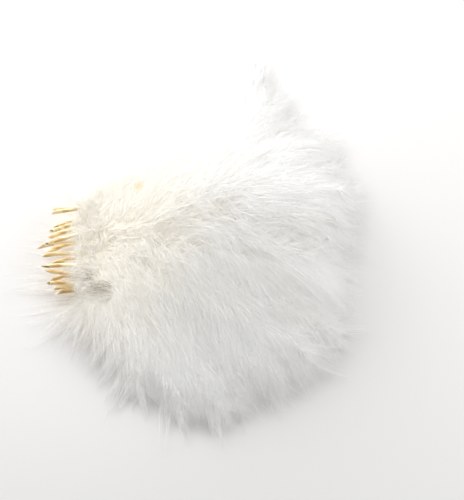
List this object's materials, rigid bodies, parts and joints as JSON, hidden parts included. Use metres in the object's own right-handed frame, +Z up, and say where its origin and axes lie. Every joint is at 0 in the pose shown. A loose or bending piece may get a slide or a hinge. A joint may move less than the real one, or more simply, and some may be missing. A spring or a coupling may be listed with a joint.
{
  "type": "strung marabou feathers",
  "caption": "White marabou down feathers laced in a row at their amber quills, fanned out and lying flat as one soft puff.",
  "frame": {"origin": "on the surface that the bunch lies on, under the middle of its bounding box", "axes": "+X from the row of quills towards the feathers' tips, +Y along the row towards the long plume, +Z up out of the surface"},
  "size_m": [0.1574, 0.1806, 0.0452],
  "materials": {
    "white_down": "soft, matt and slightly translucent",
    "amber_quill": "horny, half translucent and semi-gloss",
    "cotton_thread": "matt twisted cotton"
  },
  "bodies": {
    "root": {"feather_01": "white_down", "feather_02": "white_down", "feather_03": "white_down", "feather_04": "white_down", "feather_05": "white_down", "feather_06": "white_down", "feather_07": "white_down", "feather_08": "white_down", "feather_09": "white_down", "feather_10": "white_down", "feather_11": "white_down", "feather_12": "white_down", "feather_13": "white_down", "feather_14": "white_down", "feather_15": "white_down", "feather_16": "white_down", "stringing_thread": "cotton_thread"}
  },
  "joints": []
}
